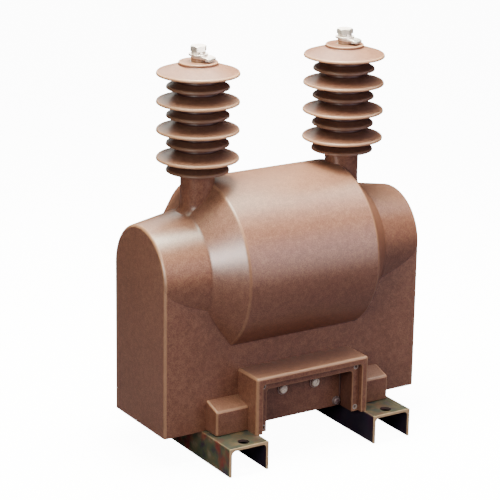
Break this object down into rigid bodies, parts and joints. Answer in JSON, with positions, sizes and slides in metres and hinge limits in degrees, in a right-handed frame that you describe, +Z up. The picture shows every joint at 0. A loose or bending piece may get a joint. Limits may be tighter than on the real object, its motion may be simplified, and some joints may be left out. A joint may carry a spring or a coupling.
{
  "type": "voltage transformer",
  "caption": "Outdoor cast-resin voltage transformer: a drum-shaped casting with shedded bushings on top, an open low-voltage terminal box in front and a base of steel channels.",
  "frame": {"origin": "on the mounting surface, midway between the two base channels and midway along their length, below the middle of the casting", "axes": "+X along the coil axis to the right as seen from the front, +Y away from the terminal box (the open recess faces -Y), +Z up"},
  "size_m": [0.335, 0.23, 0.4539],
  "materials": {
    "resin": "satin red-brown epoxy resin, filled with quartz",
    "zinc": "yellow passivated zinc plating with green and red shimmer",
    "bright_steel": "bright zinc or tin plating",
    "brass": "machined brass",
    "core_steel": "grey steel",
    "copper": "enamelled copper",
    "board": "tan insulating board"
  },
  "bodies": {
    "root": {"resin_casting": "resin", "base_channel_left": "zinc", "base_channel_right": "zinc", "core_upper_half": "core_steel", "core_lower_half": "core_steel", "core_bands": "bright_steel", "winding_tube": "board", "secondary_winding": "copper", "barrier_tube": "board", "primary_coil_left": "copper", "primary_coil_right": "copper", "primary_link": "copper", "high_voltage_lead_left": "copper", "high_voltage_lead_right": "copper", "secondary_leads": "copper", "core_earth_lead": "copper", "terminal_insert_left": "bright_steel", "terminal_insert_right": "bright_steel", "terminal_tab_left": "bright_steel", "terminal_tab_right": "bright_steel", "terminal_flat_washers": "bright_steel", "terminal_spring_washers": "bright_steel", "terminal_bolts": "bright_steel", "secondary_inserts": "brass", "secondary_washers": "bright_steel", "secondary_screws": "bright_steel", "earth_insert": "brass", "earth_washer": "bright_steel", "earth_screw": "bright_steel", "cover_inserts": "bright_steel", "channel_inserts": "core_steel", "channel_flat_washers": "zinc", "channel_spring_washers": "zinc", "channel_bolts": "zinc"}
  },
  "joints": []
}
